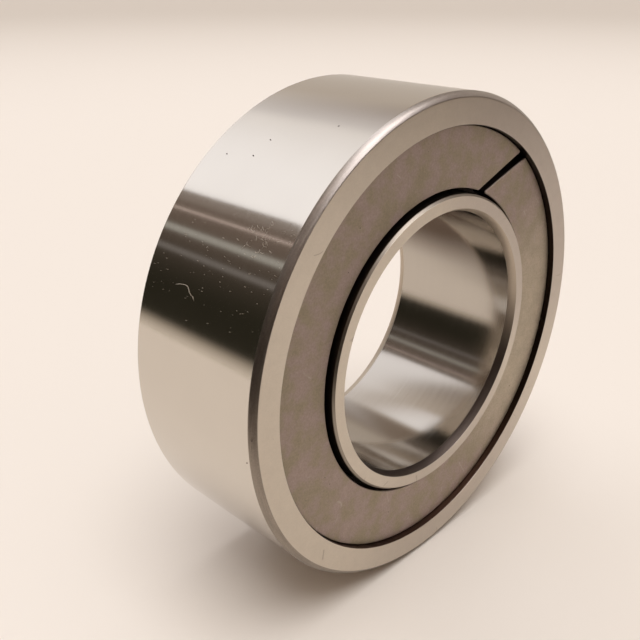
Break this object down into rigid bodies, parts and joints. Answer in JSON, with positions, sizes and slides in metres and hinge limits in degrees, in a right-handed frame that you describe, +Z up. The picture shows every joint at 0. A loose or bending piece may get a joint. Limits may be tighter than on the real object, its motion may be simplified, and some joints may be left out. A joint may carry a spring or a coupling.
{
  "type": "ball bearing",
  "caption": "Wide deep-groove ball bearing, sealed in each side by a felt washer behind a slotted snap-in closure ring, with the inner ring standing through flush.",
  "frame": {"origin": "middle of the bearing, on its axis", "axes": "Y along the bearing's axis with the front face of the picture towards -Y, +Z up, standing on its outside diameter at z = -50 mm"},
  "size_m": [0.1, 0.0334, 0.1],
  "materials": {
    "ring_steel": "hardened bearing steel, ground and polished",
    "ball_steel": "mirror polished",
    "cage_steel": "pressed sheet steel, satin",
    "closure_steel": "dull grey-brown, fine blasted",
    "washer_steel": "rolled sheet steel, oiled",
    "felt": "oiled wool felt"
  },
  "bodies": {
    "outer": {"outer_ring": "ring_steel", "closure_ring_front": "closure_steel", "closure_ring_back": "closure_steel", "felt_washer_front": "felt", "felt_washer_back": "felt", "backing_washer_front": "washer_steel", "backing_washer_back": "washer_steel"},
    "inner": {"inner_ring": "ring_steel"},
    "cage": {"cage_half_front": "cage_steel", "cage_half_back": "cage_steel", "cage_rivets": "cage_steel"},
    "ball_01": {"ball_01": "ball_steel"},
    "ball_02": {"ball_02": "ball_steel"},
    "ball_03": {"ball_03": "ball_steel"},
    "ball_04": {"ball_04": "ball_steel"},
    "ball_05": {"ball_05": "ball_steel"},
    "ball_06": {"ball_06": "ball_steel"},
    "ball_07": {"ball_07": "ball_steel"},
    "ball_08": {"ball_08": "ball_steel"},
    "ball_09": {"ball_09": "ball_steel"},
    "ball_10": {"ball_10": "ball_steel"}
  },
  "joints": [
    {"name": "inner_spin", "type": "hinge", "parent": "outer", "child": "inner", "pos_m": [0, 0, 0], "axis": [0, 1, 0], "continuous": true},
    {"name": "cage_orbit", "type": "hinge", "parent": "outer", "child": "cage", "pos_m": [0, 0, 0], "axis": [0, 1, 0], "continuous": true},
    {"name": "ball_01_spin", "type": "hinge", "parent": "cage", "child": "ball_01", "pos_m": [0, 0, 0.03875], "axis": [0, 1, 0], "continuous": true},
    {"name": "ball_02_spin", "type": "hinge", "parent": "cage", "child": "ball_02", "pos_m": [-0.02278, 0, 0.03135], "axis": [0, 1, 0], "continuous": true},
    {"name": "ball_03_spin", "type": "hinge", "parent": "cage", "child": "ball_03", "pos_m": [-0.03685, 0, 0.01197], "axis": [0, 1, 0], "continuous": true},
    {"name": "ball_04_spin", "type": "hinge", "parent": "cage", "child": "ball_04", "pos_m": [-0.03685, 0, -0.01197], "axis": [0, 1, 0], "continuous": true},
    {"name": "ball_05_spin", "type": "hinge", "parent": "cage", "child": "ball_05", "pos_m": [-0.02278, 0, -0.03135], "axis": [0, 1, 0], "continuous": true},
    {"name": "ball_06_spin", "type": "hinge", "parent": "cage", "child": "ball_06", "pos_m": [0, 0, -0.03875], "axis": [0, 1, 0], "continuous": true},
    {"name": "ball_07_spin", "type": "hinge", "parent": "cage", "child": "ball_07", "pos_m": [0.02278, 0, -0.03135], "axis": [0, 1, 0], "continuous": true},
    {"name": "ball_08_spin", "type": "hinge", "parent": "cage", "child": "ball_08", "pos_m": [0.03685, 0, -0.01197], "axis": [0, 1, 0], "continuous": true},
    {"name": "ball_09_spin", "type": "hinge", "parent": "cage", "child": "ball_09", "pos_m": [0.03685, 0, 0.01197], "axis": [0, 1, 0], "continuous": true},
    {"name": "ball_10_spin", "type": "hinge", "parent": "cage", "child": "ball_10", "pos_m": [0.02278, 0, 0.03135], "axis": [0, 1, 0], "continuous": true}
  ],
  "couplings": [
    {"joint": "cage_orbit", "follows": "inner_spin", "ratio": 0.40782},
    {"joint": "ball_01_spin", "follows": "inner_spin", "ratio": -2.6199},
    {"joint": "ball_02_spin", "follows": "inner_spin", "ratio": -2.6199},
    {"joint": "ball_03_spin", "follows": "inner_spin", "ratio": -2.6199},
    {"joint": "ball_04_spin", "follows": "inner_spin", "ratio": -2.6199},
    {"joint": "ball_05_spin", "follows": "inner_spin", "ratio": -2.6199},
    {"joint": "ball_06_spin", "follows": "inner_spin", "ratio": -2.6199},
    {"joint": "ball_07_spin", "follows": "inner_spin", "ratio": -2.6199},
    {"joint": "ball_08_spin", "follows": "inner_spin", "ratio": -2.6199},
    {"joint": "ball_09_spin", "follows": "inner_spin", "ratio": -2.6199},
    {"joint": "ball_10_spin", "follows": "inner_spin", "ratio": -2.6199}
  ]
}
